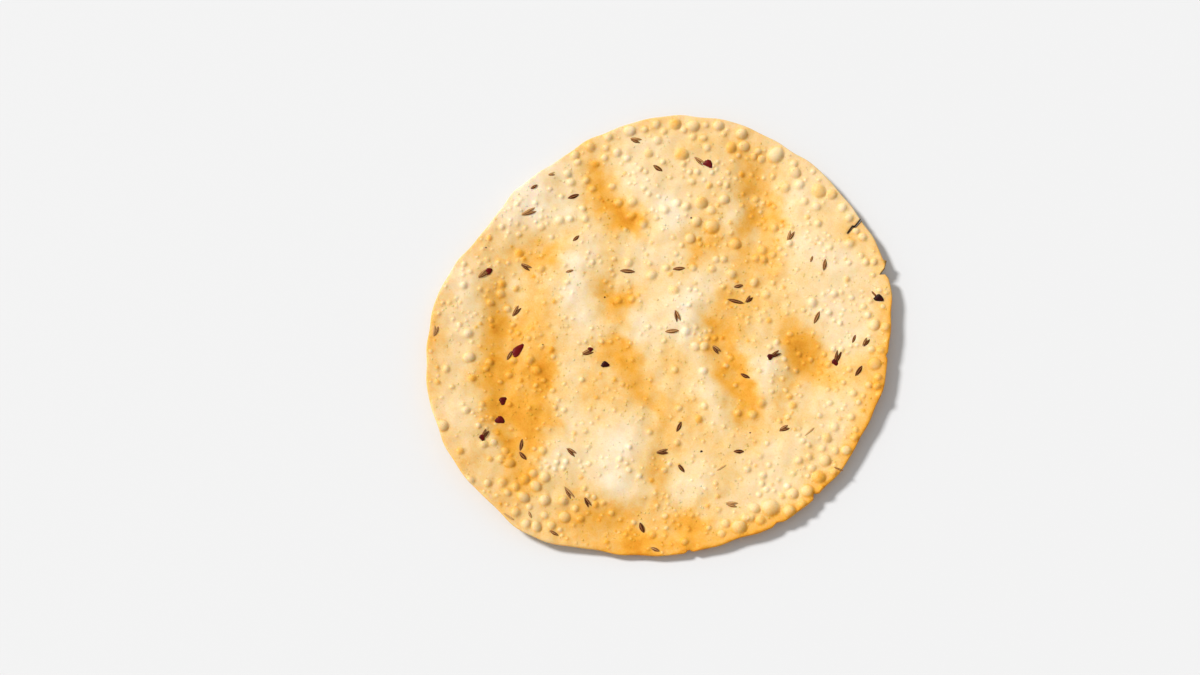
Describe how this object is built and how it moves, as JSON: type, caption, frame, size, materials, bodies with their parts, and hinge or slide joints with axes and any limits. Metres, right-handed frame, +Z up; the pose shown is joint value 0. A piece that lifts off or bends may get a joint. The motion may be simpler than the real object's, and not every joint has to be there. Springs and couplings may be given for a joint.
{
  "type": "papadum",
  "caption": "Thin crisp round of fried gram dough, wavy and blistered, with seeds and spice flakes baked in, a chipped rim and a short crack.",
  "frame": {"origin": "middle of the disc's box, on the surface that the disc rests on", "axes": "+Z up, away from the resting surface; +Y away from the viewer in the picture; +X to the right"},
  "size_m": [0.1794, 0.1798, 0.0084],
  "materials": {
    "toasted_crust": "dry toasted gram dough, cream on the crests and golden brown in the hollows, with a faint film of oil",
    "seed_husk": "dry ribbed cumin husk, brown",
    "chilli_flake": "dark red dried chilli skin, slightly glossy"
  },
  "bodies": {
    "root": {"papadum": "toasted_crust"}
  },
  "joints": []
}
